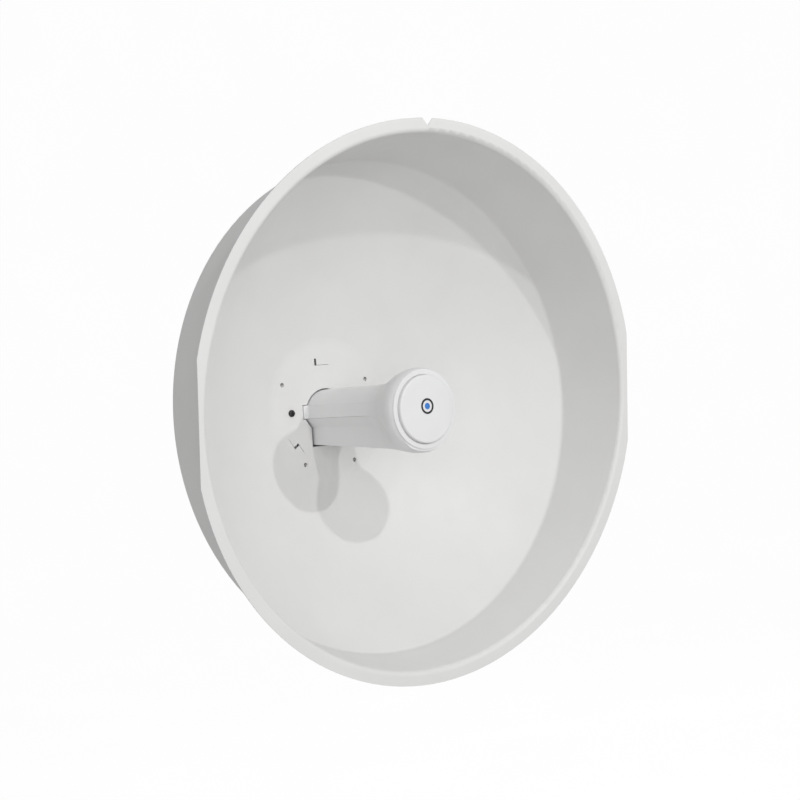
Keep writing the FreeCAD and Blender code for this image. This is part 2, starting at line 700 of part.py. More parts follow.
def release_button():
    """Button and the frame that latches the feed's tail, in one moulding."""
    y0, y1 = LATCH_Y
    bottom = TAIL_LOW - 0.3
    frame = box(-22.5, 22.5, y0, y1, bottom - 4.7, 28)
    hole = box(-TAIL_X - 0.9, TAIL_X + 0.9, y0 - 1, y1 + 1, bottom, TAIL_TOP + LATCH_TRAVEL + 1)
    stem = box(-LATCH_STEM, LATCH_STEM, y0, y1, 27, HOUSE_TOP)
    cap = box(-8, 8, y0 - 3, y1 + 3, HOUSE_TOP - 1, HOUSE_TOP + 4.5)
    top = [e for e in cap.Edges if e.BoundBox.ZMin > HOUSE_TOP + 4]
    return union([frame.cut(hole), stem, cap.makeFillet(1.5, top)])


def port_cover():
    x = 17.0
    y, z = COVER_AXIS
    low = WINDOW[2] - 2.5
    plate = rounded_block(-x, x, HOUSE_BACK + 0.3, HOUSE_BACK + 2.3, low, z - 2.5, 3)
    knuckle = cross_rod(2.2, y, z, -10, 10)
    neck = box(-10, 10, HOUSE_BACK + 0.3, y + 0.5, z - 4, z)
    grip = box(-7, 7, HOUSE_BACK + 2, HOUSE_BACK + 4, low + 0.5, low + 2.5)
    return union([plate, knuckle, neck, grip]).cut(cross_rod(PIN_R + RUN_FIT, y, z, -20, 20))


def port_seal():
    x0, x1, z0, z1 = WINDOW
    outer = box(x0 + 0.5, x1 - 0.5, HOUSE_BACK - 1.9, HOUSE_BACK + 0.3, z0 + 0.6, z1 - 0.5)
    return outer.cut(box(x0 + 2, x1 - 2, HOUSE_BACK - 3, HOUSE_BACK + 1, z0 + 2, z1 - 2))


# --- feed shells and head --------------------------------------------------------------
def tail_hollow():
    """Space inside the tail, carried through the tube's rear wall."""
    w = TAIL_WALL
    return box(-TAIL_X + w, TAIL_X - w, TUBE_BASE_Y - 5, TAIL_END_Y + 1,
               TAIL_LOW + w, TAIL_TOP - w)


def feed_body():
    """Both tube shells before they are parted."""
    outer = tube_solid(TUBE_HEAD_Y, TUBE_BASE_Y)
    inner = tube_solid(TUBE_HEAD_Y - 1, TUBE_BASE_Y - WALL, -WALL)
    lug = box(22, LUG_X, HUB_Y - 1.5, HUB_Y + 6, PART_Z, FACET_Z)
    lugs = [lug, lug.mirror(V(0, 0, 0), V(1, 0, 0))]
    return union([outer] + lugs).cut([inner, tail_hollow()])


def feed_upper_shell():
    return feed_body().common(box(-60, 60, -300, 0, PART_Z + SEAM, 60))


def feed_lower_shell():
    body = feed_body().common(box(-60, 60, -300, 0, -60, PART_Z - SEAM))
    low = BOARD_TOP - BOARD_THICK
    inside = tube_solid(TUBE_HEAD_Y, TUBE_BASE_Y)
    posts = [post(2.2, x, y, TUBE_LOW[0] + WALL - 0.5, low) for x, y in BOARD_SCREWS]
    body = union([body] + [p.common(inside) for p in posts])
    return body.cut([post(0.95, x, y, low - 8, low + 1) for x, y in BOARD_SCREWS])


def feed_tail():
    """Box behind the tube that the rear housing guides and latches."""
    tail = rounded_block(-TAIL_X, TAIL_X, TUBE_BASE_Y, TAIL_END_Y, TAIL_LOW, TAIL_TOP, 3)
    front = TAIL_END_Y - 10
    bosses = [rod(2.9, x, z, front, TAIL_END_Y) for x, z in CAP_SCREWS]
    pads = [box(x - 2.9, x + 2.9, front, TAIL_END_Y, z, TAIL_TOP - 1) for x, z in CAP_SCREWS]
    body = union([tail.cut(tail_hollow())] + bosses + pads)
    return body.cut([rod(1.25, x, z, TAIL_END_Y - 9, TAIL_END_Y + 1) for x, z in CAP_SCREWS])


def feed_head_barrel():
    """Flared bell that carries the head on the end of the tube."""
    neck_y = TUBE_HEAD_Y + 6
    neck = TUBE_R[0] + 0.4
    outside = [(neck, neck_y), (neck, RING_Y + 48), (BARREL_R, RING_Y + 25),
               (BARREL_R, RING_Y + 6), (RING_R, RING_Y + 1.2)]
    inside = [(RING_R - 2.6, RING_Y + 1.2), (BARREL_R - 3, RING_Y + 8),
              (BARREL_R - 3, RING_Y + 24), (neck - 0.4, RING_Y + 47), (neck - 0.4, neck_y)]
    bell = turned(outside + inside, {1: 22, 2: 9, 3: 5, 6: 4, 7: 7, 8: 18})
    core = turned([(0, RING_Y)] + inside + [(0, neck_y)])
    chin = tube_solid(RING_Y + 30, neck_y, 0.4).common(box(-40, 40, RING_Y, neck_y, -40, 0))
    grip = tube_solid(RING_Y + 30, neck_y + 1, 0.05)
    body = union([bell.cut(grip.common(box(-60, 60, TUBE_HEAD_Y - 8, 0, -60, 60))),
                  chin.cut([grip, core])])
    return max(body.Solids, key=lambda solid: solid.Volume)


def bezel_ring():
    y = RING_Y
    points = [(CAP_R + 0.25, y), (RING_R, y), (RING_R, y + 1.1), (RING_R - 2.7, y + 1.1),
              (RING_R - 2.7, y + 5), (CAP_R + 0.25, y + 5)]
    return turned(points, {0: 0.6, 1: 1.0})


def front_cap():
    y = RING_Y - CAP_PROUD
    points = [(0, y), (CAP_R, y), (CAP_R, y + 8), (CAP_R - 2, y + 8), (CAP_R - 2, y + 2), (0, y + 2)]
    return turned(points, {1: 1.8, 4: 1.0})


def badge_ring():
    y = RING_Y - CAP_PROUD
    return ring(7.6, 5.6, 0, BADGE_Z, y - 0.2, y)


def badge_dot():
    y = RING_Y - CAP_PROUD
    return rod(3.1, 0, BADGE_Z, y - 0.2, y)


def head_seal():
    points = [(RING_R - 5.0, RING_Y + 6.5), (RING_R - 3.2, RING_Y + 6.5),
              (RING_R - 3.2, RING_Y + 8.3), (RING_R - 5.0, RING_Y + 8.3)]
    return turned(points, {0: 0.7, 1: 0.7, 2: 0.7, 3: 0.7})


def sub_reflector():
    y = RING_Y + 1.0
    points = [(0, y), (6, y + 2), (24, y), (30, y), (30, y + 1), (24, y + 1), (6, y + 3), (0, y + 1)]
    return turned(points)


def feed_choke():
    y = RING_Y + 20
    ring_steps = [(20, y), (23, y), (23, y + 5), (28, y), (31, y), (31, y + 9), (20, y + 9)]
    return turned(ring_steps)


def antenna_board():
    y = RING_Y + 17
    return ring(29, 2.5, 0, 0, y, y + 1.0)


def dipole_elements():
    y = RING_Y + 17
    patches = []
    for turn in (45, 135, 225, 315):
        blade = box(6, 16, y - 7, y - 0.01, -1.5, 1.5)
        blade = blade.fuse(box(4, 18, y - 8, y - 7, -3, 3))
        blade.rotate(V(0, 0, 0), V(0, 1, 0), turn)
        patches.append(blade)
    return group(patches)


def feed_end_cap():
    y0 = TAIL_END_Y
    plate = rounded_block(-TAIL_X, TAIL_X, y0, y0 + END_CAP, TAIL_LOW, TAIL_TOP, 3)
    window = box(-JACK_X - 0.2, JACK_X + 0.2, y0 - 1, y0 + 5, BOARD_TOP - 0.1, JACK_TOP + 0.2)
    holes = [rod(0.85, x, BOARD_TOP + 1.0, y0 - 1, y0 + 5) for x in LED_X]
    holes.append(rod(RESET_R + 0.08, RESET_X, RESET_Z, y0 - 1, y0 + 5))
    for x, z in CAP_SCREWS:
        holes.append(rod(1.5, x, z, y0 - 1, y0 + 5))
        holes.append(rod(2.7, x, z, y0 + 1.0, y0 + 5))
    return plate.cut([window] + holes)


def end_cap_screws():
    screws = []
    for x, z in CAP_SCREWS:
        head = rod(2.5, x, z, TAIL_END_Y + 1.0, TAIL_END_Y + END_CAP)
        shank = rod(1.2, x, z, TAIL_END_Y - 7, TAIL_END_Y + 1.5)
        slot = box(x - 1.6, x + 1.6, TAIL_END_Y + END_CAP - 0.7, TAIL_END_Y + 5, z - 0.3, z + 0.3)
        screws.append(union([head, shank]).cut(slot))
    return group(screws)


def reset_button():
    y0 = TAIL_END_Y
    return union([rod(RESET_R, RESET_X, RESET_Z, y0 - 4, y0 + END_CAP),
                  rod(RESET_R + 0.9, RESET_X, RESET_Z, y0 - 4, y0 - 2.9)])


# --- electronics -----------------------------------------------------------------------
def main_board():
    y0, y1 = BOARD_Y
    board = box(-BOARD_X, BOARD_X, y0, y1, BOARD_TOP - BOARD_THICK, BOARD_TOP)
    return board.cut([post(1.1, x, y, -30, 0) for x, y in BOARD_SCREWS])


def board_chips():
    top = BOARD_TOP
    sizes = [(0, -155, 13, 13, 1.3), (-11, -156, 5, 8, 1.1), (11, -156, 5, 8, 1.1),
             (0, -135, 14, 11, 5.6), (-11, -147, 4, 5, 3.0), (11, -147, 4, 5, 3.0),
             (RESET_X, TAIL_END_Y - 7.5, 4.5, 4.5, 5.4)]
    return group([box(x - w / 2, x + w / 2, y - d / 2, y + d / 2, top, top + h)
                  for x, y, w, d, h in sizes])


def shield_cans():
    cans = []
    for y0, y1 in ((-208, -188), (-185, -168)):
        can = box(-11, 11, y0, y1, BOARD_TOP, BOARD_TOP + 3.2)
        cans.append(can.cut(box(-10.7, 10.7, y0 + 0.3, y1 - 0.3, BOARD_TOP - 1, BOARD_TOP + 2.9)))
    return group(cans)


def heat_spreader():
    top = BOARD_TOP - BOARD_THICK - 2.2
    fins = [box(x - 0.8, x + 0.8, -200, -132, -26.5, top - 2) for x in (-8, -4, 0, 4, 8)]
    return union([box(-9.5, 9.5, -205, -130, top - 3, top)] + fins)


def thermal_pad():
    low = BOARD_TOP - BOARD_THICK
    return box(-8, 8, -190, -140, low - 2.2, low)


def board_screws():
    screws = []
    for x, y in BOARD_SCREWS:
        head = post(1.9, x, y, BOARD_TOP, BOARD_TOP + 1.3)
        screws.append(union([head, post(0.9, x, y, BOARD_TOP - 7, BOARD_TOP + 0.5)]))
    return group(screws)


def ethernet_jack():
    back = TAIL_END_Y + END_CAP - 0.1
    can = box(-JACK_X, JACK_X, back - JACK_DEEP, back, BOARD_TOP, JACK_TOP)
    return can.cut(box(-JACK_X + 0.3, JACK_X - 0.3, back - JACK_DEEP + 0.3, back + 1,
                       BOARD_TOP + 0.3, JACK_TOP - 0.3))


def jack_insert():
    back = TAIL_END_Y + END_CAP - 0.4
    body = box(-JACK_X + 0.35, JACK_X - 0.35, back - JACK_DEEP + 0.7, back,
               BOARD_TOP + 0.35, JACK_TOP - 0.35)
    socket = box(-5.9, 5.9, back - 14, back + 1, -10.0, -2.2)
    key = box(-3.0, 3.0, back - 14, back + 1, -11.4, -9.9)
    return body.cut([socket, key])


def jack_contacts():
    back = TAIL_END_Y + END_CAP - 0.4
    pins = []
    for i in range(8):
        x = (i - 3.5) * 1.02
        pins.append(box(x - 0.2, x + 0.2, back - 13.9, back - 3, -2.9, -2.5))
    return group(pins)


def coax_jumpers():
    z = BOARD_TOP + 1.6
    return group([rod(0.9, x, z, RING_Y + 19.5, BOARD_Y[0] + 3) for x in (-6.0, 6.0)])


def coax_connectors():
    z = BOARD_TOP + 1.6
    ends = []
    for x in (-6.0, 6.0):
        ends.append(ring(1.7, 0.95, x, z, RING_Y + 18.05, RING_Y + 22))
        ends.append(box(x - 2, x + 2, BOARD_Y[0] + 3.1, BOARD_Y[0] + 6.5, BOARD_TOP, z + 1.2))
    return group(ends)


def status_leds():
    y = TAIL_END_Y - 6.2
    return group([box(x - 0.8, x + 0.8, y - 1.6, y, BOARD_TOP, BOARD_TOP + 1.7) for x in LED_X])


def light_pipes():
    z = BOARD_TOP + 1.0
    return group([rod(0.8, x, z, TAIL_END_Y - 6, TAIL_END_Y + END_CAP) for x in LED_X])


NODES = {
    "dish_reflector": dish_reflector,
    "tilt_bracket": tilt_bracket,
    "clinch_nuts": clinch_nuts,
    "bracket_screws": bracket_screws,
    "ground_screw": ground_screw,
    "ground_washer": ground_washer,
    "lock_bolts": lock_bolts,
    "lock_washers": lambda: mirrored(inner_washer(LOCK_R, SIDE_OUT - PLATE - 0.3)),
    "lock_nuts": lambda: mirrored(inner_nut(LOCK_R, SIDE_OUT - PLATE - 0.3 - WASHER)),
    "pivot_bolts": pivot_bolts,
    "pivot_washers": lambda: mirrored(inner_washer(0, SIDE_OUT - PLATE)),
    "pivot_nuts": lambda: mirrored(inner_nut(0, SIDE_OUT - PLATE - WASHER)),
    "pole_bracket": pole_bracket,
    "carriage_bolts": carriage_bolts,
    "clamp_jaw": clamp_jaw,
    "clamp_washers": clamp_washers,
    "clamp_nuts": clamp_nuts,
    "rear_housing": rear_housing,
    "guide_sleeve": guide_sleeve,
    "chamber_frame": chamber_frame,
    "housing_gasket": housing_gasket,
    "housing_screws": housing_screws,
    "cable_grommet": cable_grommet,
    "cover_pin": cover_pin,
    "latch_spring": latch_spring,
    "release_button": release_button,
    "port_cover": port_cover,
    "port_seal": port_seal,
    "feed_upper_shell": feed_upper_shell,
    "feed_lower_shell": feed_lower_shell,
    "feed_tail": feed_tail,
    "feed_head_barrel": feed_head_barrel,
    "bezel_ring": bezel_ring,
    "front_cap": front_cap,
    "badge_ring": badge_ring,
    "badge_dot": badge_dot,
    "head_seal": head_seal,
    "sub_reflector": sub_reflector,
    "feed_choke": feed_choke,
    "antenna_board": antenna_board,
    "dipole_elements": dipole_elements,
    "feed_end_cap": feed_end_cap,
    "end_cap_screws": end_cap_screws,
    "reset_button": reset_button,
    "main_board": main_board,
    "board_chips": board_chips,
    "shield_cans": shield_cans,
    "heat_spreader": heat_spreader,
    "thermal_pad": thermal_pad,
    "board_screws": board_screws,
    "ethernet_jack": ethernet_jack,
    "jack_insert": jack_insert,
    "jack_contacts": jack_contacts,
    "coax_jumpers": coax_jumpers,
    "coax_connectors": coax_connectors,
    "status_leds": status_leds,
    "light_pipes": light_pipes,
}

os.makedirs("parts", exist_ok=True)
for name, make in NODES.items():
    shape = make()
    if not shape.isValid() or not shape.Solids:
        raise ValueError(name + " is not a valid solid")
    print(name, len(shape.Solids), "solids", round(shape.Volume), "mm3")
    shape.exportStep("parts/" + name + ".step")
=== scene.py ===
import math

import bmesh
import bpy
from mathutils import Matrix, Vector


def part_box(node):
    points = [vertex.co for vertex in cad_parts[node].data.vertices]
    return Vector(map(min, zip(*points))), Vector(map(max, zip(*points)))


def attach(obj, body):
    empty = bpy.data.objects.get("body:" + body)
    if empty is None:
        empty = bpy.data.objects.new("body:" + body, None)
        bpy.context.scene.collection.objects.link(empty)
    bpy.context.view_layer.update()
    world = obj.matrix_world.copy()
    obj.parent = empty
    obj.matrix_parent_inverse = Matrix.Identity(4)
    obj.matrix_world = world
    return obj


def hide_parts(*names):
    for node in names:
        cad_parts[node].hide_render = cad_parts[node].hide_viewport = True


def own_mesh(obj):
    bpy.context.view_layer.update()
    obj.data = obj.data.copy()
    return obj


# Metres, in the CAD frame: +Z up, the dish faces -Y, the mast runs through the origin.

# --- camera and light ------------------------------------------------------------------
CAMERA_AT = (-1.11245, -1.63846, 0.03349)
CAMERA_TURN = 38.82      # degrees from +Y towards +X
CAMERA_DIP = 0.76        # degrees below level
CAMERA_ROLL = 4.32
CAMERA_LENS = 82.04
STUDIO_RADIUS = 6.0
STUDIO_BEND = 2.0        # radius of the curve from the floor up to the backdrop
STUDIO_TALL = 5.0
FLOOR_Z = -0.8
AMBIENT = 0.48           # brightness of the studio as it lights the object
BACKDROP = 0.96          # brightness of the studio as the camera sees it
HEAD_CENTRE = (0.0, -0.275, 0.0)       # the lights stand round the feed's head
LIGHTS = (               # name, direction, diameter, power, distance
    ("key_right", (31.8, -140, 52.7), 0.06, 10.8, 2.4),
    ("key_left", (-15.3, -132.5, 90), 0.07, 10.8, 2.4),
    ("front_fill", (-0.45, -0.9, 0.1), 2.4, 27.0, 3.2),
    ("back_fill", (0.8, 0.55, 0.5), 1.5, 22.0, 3.2),
)

# --- all pieces ------------------------------------------------------------------------
ROUND_STEPS = 128
SHARP_ANGLE = 32         # edges that turn by more degrees than this stay crisp

# --- feed tube and bell ----------------------------------------------------------------
TUBE_R = 0.0262          # round top of the tube's section at its head end
FACET_Z = 0.0105
SEAM_Z = -0.003
CHAMFER_Z = -0.013
TUBE_SIDE = 0.0196
TUBE_LOW = -0.0348
BELL_SPOTS = (           # distance behind the bezel ring's face, radius, drop below the axis
    (0.0570, 0.0262, 0.0), (0.0480, 0.0276, 0.0002), (0.0425, 0.0291, 0.0004),
    (0.0360, 0.0315, 0.0006), (0.0305, 0.0340, 0.0008), (0.0250, 0.0364, 0.0010),
    (0.0205, 0.0383, 0.0011), (0.0160, 0.0397, 0.0012), (0.0120, 0.0406, 0.0012),
    (0.0085, 0.0408, 0.0011), (0.0055, 0.0405, 0.0008), (0.0035, 0.0398, 0.0005),
    (0.0012, 0.0385, 0.0),
)
BELL_WALL = 0.0024
SKIRT_END = 0.062
SKIRT = 0.0003           # the bell's collar stands this proud of the tube
SKIRT_FIT = 0.00005
SKIRT_STEP = 0.0555      # the bell's wall ends here, and the collar goes on to SKIRT_END

# --- front disc and bezel --------------------------------------------------------------
CAP_R = 0.033
CAP_CROWN = 0.0003
CAP_DEEP = 0.008
CAP_WALL = 0.002
CAP_EDGE = 0.0019        # radius of the disc's front edge
CAP_GAP = 0.00025        # between the disc and the bezel
TIP_R = 0.0004           # the disc's middle is closed by a small flat face
BEZEL_STEP = (0.0027, 0.0011)          # inwards and backwards, where the bell's lip sits
BEZEL_EDGE = 0.0005

# --- carriage bolts --------------------------------------------------------------------
BOLT_R = 0.004
BOLT_X = 0.034
BOLT_Z = 0.016
HEAD_R = 0.0085
HEAD_TALL = 0.0045
HEAD_EDGE = 0.0008       # straight edge below the dome
DOME_STEPS = 9
NECK_LONG = 0.004
PLAIN_LONG = 0.010
THREAD_PITCH = 0.00125
THREAD_DEPTH = 0.00055
THREAD_RINGS = 6         # rings of vertices in each turn of thread
TIP_LONG = 0.001         # plain tip below the last thread
SHANK_SIDES = 32

# --- latch spring ----------------------------------------------------------------------
WIRE_R = 0.00026
SPRING_TURNS = 2.6
SPRING_STEPS = 24        # loops of vertices in each turn
WIRE_SIDES = 10

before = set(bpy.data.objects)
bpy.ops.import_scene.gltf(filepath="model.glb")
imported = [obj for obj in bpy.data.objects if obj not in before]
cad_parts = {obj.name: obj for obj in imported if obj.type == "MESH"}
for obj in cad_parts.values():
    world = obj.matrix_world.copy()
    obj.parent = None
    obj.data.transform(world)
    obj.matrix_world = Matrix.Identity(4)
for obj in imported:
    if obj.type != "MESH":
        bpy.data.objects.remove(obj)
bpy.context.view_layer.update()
scene = bpy.context.scene


# --- materials -------------------------------------------------------------------------
class Surface:
    """A Principled material whose colour, roughness and relief come from procedural noise."""

    def __init__(self, name):
        self.material = bpy.data.materials.new(name)
        self.material.use_nodes = True
        self.tree = self.material.node_tree
        self.shader = self.tree.nodes["Principled BSDF"]
        self.place = self.tree.nodes.new("ShaderNodeTexCoord").outputs["Object"]

    def fixed(self, **values):
        for name, value in values.items():
            self.shader.inputs[name.replace("_", " ")].default_value = value

    def node(self, kind, **values):
        made = self.tree.nodes.new(kind)
        for name, value in values.items():
            made.inputs[name.replace("_", " ")].default_value = value
        return made

    def stretched(self, scale):
        """Object coordinates scaled by a different amount along each axis."""
        mapping = self.node("ShaderNodeMapping", Scale=scale)
        self.tree.links.new(self.place, mapping.inputs["Vector"])
        return mapping.outputs["Vector"]

    def noise(self, scale, detail=3.0, place=None):
        made = self.node("ShaderNodeTexNoise", Scale=scale, Detail=detail)
        self.tree.links.new(place or self.place, made.inputs["Vector"])
        return made.outputs["Fac"]

    def cells(self, scale):
        """Flat cells of random grey, as zinc spangle has."""
        made = self.node("ShaderNodeTexVoronoi", Scale=scale)
        self.tree.links.new(self.place, made.inputs["Vector"])
        return made.outputs["Color"]

    def spread(self, source, low, high, start=0.3, end=0.7):
        """Maps a noise onto a range of numbers."""
        made = self.node("ShaderNodeMapRange", From_Min=start, From_Max=end, To_Min=low, To_Max=high)
        self.tree.links.new(source, made.inputs["Value"])
        return made.outputs["Result"]

    def colour(self, source, dark, light, start=0.3, end=0.7):
        ramp = self.tree.nodes.new("ShaderNodeValToRGB")
        ramp.color_ramp.elements[0].position = start
        ramp.color_ramp.elements[0].color = (*dark, 1.0)
        ramp.color_ramp.elements[1].position = end
        ramp.color_ramp.elements[1].color = (*light, 1.0)
        self.tree.links.new(source, ramp.inputs["Fac"])
        self.tree.links.new(ramp.outputs["Color"], self.shader.inputs["Base Color"])

    def rough(self, source, low, high):
        self.tree.links.new(self.spread(source, low, high), self.shader.inputs["Roughness"])

    def relief(self, source, height, strength=1.0):
        """Bump of a height in metres."""
        bump = self.node("ShaderNodeBump", Strength=strength, Distance=height)
        self.tree.links.new(source, bump.inputs["Height"])
        before = self.shader.inputs["Normal"]
        if before.links:
            self.tree.links.new(before.links[0].from_socket, bump.inputs["Normal"])
        self.tree.links.new(bump.outputs["Normal"], before)


def shade(value, tint=(1.0, 1.0, 1.0)):
    return tuple(value * t for t in tint)


def painted_steel():
    """Off-white powder coat: fine orange peel with a faint drift in tone."""
    s = Surface("powder_coat")
    s.colour(s.noise(14, 4), shade(0.70, (1, 0.997, 0.985)), shade(0.725, (1, 0.999, 0.988)))
    s.rough(s.noise(60, 3), 0.40, 0.50)
    s.relief(s.noise(900, 2), 0.00006, 0.35)
    s.relief(s.noise(2600, 1), 0.00002, 0.3)
    s.fixed(Specular_IOR_Level=0.42)
    return s.material


def moulded(name, tone, tint=(1, 1, 1), rough=(0.36, 0.46), grain=2200, drift=0.04):
    """Spark-eroded plastic: fine even grain, a slight change of tone and of gloss."""
    s = Surface(name)
    s.colour(s.noise(22, 3), shade(tone * (1 - drift), tint), shade(tone, tint))
    s.rough(s.noise(90, 3), *rough)
    s.relief(s.noise(grain, 2), 0.00003, 0.35)
    s.fixed(Specular_IOR_Level=0.45)
    return s.material


def plated(name, dark, light, rough, spangle=None, brushed=None):
    """Bare or plated metal with spangle cells or fine drawn lines."""
    s = Surface(name)
    s.fixed(Metallic=1.0)
    if spangle:
        s.colour(s.cells(spangle), dark, light, 0.1, 0.9)
    else:
        s.colour(s.noise(120, 4), dark, light)
    s.rough(s.noise(240, 3), *rough)
    if brushed:
        s.relief(s.noise(1.0, 2, s.stretched(brushed)), 0.00002, 0.4)
    else:
        s.relief(s.noise(1500, 2), 0.00002, 0.3)
    return s.material


def rubber(name, tone, tint=(1, 1, 1)):
    s = Surface(name)
    s.colour(s.noise(300, 4), shade(tone * 0.8, tint), shade(tone, tint))
    s.rough(s.noise(500, 2), 0.6, 0.8)
    s.relief(s.noise(1800, 2), 0.00004, 0.5)
    return s.material


def circuit_board():
    """Solder mask over copper tracks, which show as lighter straight bands."""
    s = Surface("solder_mask")
    tracks = s.noise(1.0, 0, s.stretched((1500, 60, 60)))
    s.colour(tracks, (0.01, 0.09, 0.04), (0.03, 0.18, 0.08), 0.46, 0.54)
    s.rough(s.noise(400, 2), 0.25, 0.4)
    s.relief(tracks, 0.00003, 0.4)
    return s.material


def printed(name, dark, light):
    """Smooth print under a clear coat."""
    s = Surface(name)
    s.colour(s.noise(260, 3), dark, light)
    s.rough(s.noise(500, 2), 0.2, 0.3)
    s.relief(s.noise(3000, 1), 0.00001, 0.2)
    return s.material


def lens():
    s = Surface("light_pipe")
    s.colour(s.noise(300, 2), (0.75, 0.85, 0.88), (0.85, 0.92, 0.95))
    s.rough(s.noise(600, 2), 0.08, 0.2)
    s.fixed(Transmission_Weight=0.6, IOR=1.49)
    return s.material


FINISHES = {
    "painted_steel": painted_steel(),
    "white_plastic": moulded("white_moulding", 0.76, (1, 1, 1.005)),
    "galvanised_steel": plated("zinc_plate", (0.5, 0.52, 0.54), (0.62, 0.64, 0.66), (0.32, 0.46),
                               spangle=420),
    "stainless_steel": plated("stainless", (0.42, 0.42, 0.42), (0.55, 0.55, 0.54), (0.22, 0.36),
                              brushed=(4000, 300, 4000)),
    "black_zinc": plated("black_zinc", (0.03, 0.03, 0.03), (0.06, 0.06, 0.06), (0.35, 0.5)),
    "brass_plated": plated("brass_plate", (0.5, 0.36, 0.14), (0.66, 0.5, 0.22), (0.25, 0.4)),
    "soft_rubber": rubber("black_rubber", 0.035),
    "thermal_silicone": rubber("thermal_pad", 0.3, (0.8, 0.95, 1.2)),
    "circuit_board": circuit_board(),
    "chip_black": moulded("chip_resin", 0.02, rough=(0.45, 0.6), grain=4000, drift=0.2),
    "tinned_steel": plated("tinned", (0.5, 0.5, 0.48), (0.65, 0.65, 0.62), (0.2, 0.35)),
    "gold_contact": plated("gold_flash", (0.6, 0.42, 0.12), (0.78, 0.58, 0.2), (0.15, 0.25)),
    "copper": plated("copper_foil", (0.5, 0.24, 0.13), (0.68, 0.34, 0.2), (0.25, 0.4)),
    "aluminium": plated("aluminium", (0.5, 0.5, 0.51), (0.65, 0.65, 0.66), (0.3, 0.42),
                        brushed=(3000, 150, 3000)),
    "black_plastic": moulded("black_moulding", 0.025, rough=(0.4, 0.55), grain=2600, drift=0.2),
    "badge_dark": printed("badge_ring_print", (0.02, 0.02, 0.025), (0.035, 0.035, 0.04)),
    "badge_blue": printed("badge_dot_print", (0.03, 0.16, 0.5), (0.05, 0.22, 0.62)),
    "led_lens": lens(),
}


def finish_of(node):
    """The finish for a CAD node, by the slot that model.glb gives it."""
    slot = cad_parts[node].data.materials[0].name.split(".")[0]
    return FINISHES[slot]


def dress_cad_nodes():
    for name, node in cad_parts.items():
        finish = finish_of(name)
        for place in node.material_slots:
            place.link = "OBJECT"
            place.material = finish


# --- mesh pieces -----------------------------------------------------------------------
def new_piece(name, builder, body, slot, *nodes):
    """Object made from a bmesh, which rides on a body and stands for CAD nodes."""
    mesh = bpy.data.meshes.new(name)
    bmesh.ops.recalc_face_normals(builder, faces=builder.faces)
    builder.to_mesh(mesh)
    builder.free()
    mesh.shade_smooth()
    mesh.set_sharp_from_angle(angle=math.radians(SHARP_ANGLE))
    mesh.materials.append(FINISHES[slot])
    piece = bpy.data.objects.new(name, mesh)
    scene.collection.objects.link(piece)
    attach(piece, body)
    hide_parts(*nodes)
    return piece


def loft(builder, loops, closed=False):
    """Quads from each loop of points to the next; open ends get a flat face."""
    rings = [[builder.verts.new(point) for point in loop] for loop in loops]
    pairs = list(zip(rings, rings[1:]))
    if closed:
        pairs.append((rings[-1], rings[0]))
    else:
        builder.faces.new(rings[0])
        builder.faces.new(rings[-1])
    for near, far in pairs:
        for i in range(len(near)):
            j = (i + 1) % len(near)
            builder.faces.new((near[i], near[j], far[j], far[i]))


def circle(radius, y, steps=ROUND_STEPS, x=0.0, z=0.0):
    turns = [math.tau * i / steps for i in range(steps)]
    return [(x + radius * math.cos(t), y, z + radius * math.sin(t)) for t in turns]


def rounded(points, radius, steps=6):
    """Profile of (radius, y) points with every corner between two others rounded."""
    made = [Vector(points[0])]
    for before, here, after in zip(points, points[1:], points[2:]):
        here = Vector(here)
        a = (Vector(before) - here).normalized()
        b = (Vector(after) - here).normalized()
        for i in range(steps + 1):
            t = i / steps
            made.append(here + a * radius * (1 - t) ** 2 + b * radius * t ** 2)
    made.append(Vector(points[-1]))
    return made


def tube_corners():
    """Corners of the tube's section from the right facet round the bottom to the left."""
    right = [
        (math.sqrt(TUBE_R ** 2 - FACET_Z ** 2), FACET_Z),
        (math.sqrt(TUBE_R ** 2 - SEAM_Z ** 2), SEAM_Z),
        (TUBE_SIDE, CHAMFER_Z),
        (TUBE_SIDE, TUBE_LOW),
    ]
    return right + [(-x, z) for x, z in reversed(right)]


def tube_reach(turn):
    """Distance from the axis to the tube's outline in a direction."""
    c, s = math.cos(turn), math.sin(turn)
    corners = tube_corners()
    for (x0, z0), (x1, z1) in zip(corners, corners[1:]):
        dx, dz = x1 - x0, z1 - z0
        cross = c * dz - s * dx
        if abs(cross) < 1e-12:
            continue
        reach = (x0 * dz - z0 * dx) / cross
        along = (c * z0 - s * x0) / -cross
        if reach > 0 and -1e-9 <= along <= 1 + 1e-9:
            return reach
    return TUBE_R


def bell_turns():
    """Even steps round the axis, with each corner of the tube's outline added."""
    turns = [math.tau * i / ROUND_STEPS for i in range(ROUND_STEPS)]
    turns += [math.atan2(z, x) % math.tau for x, z in tube_corners()]
    return sorted(set(round(t, 6) for t in turns))


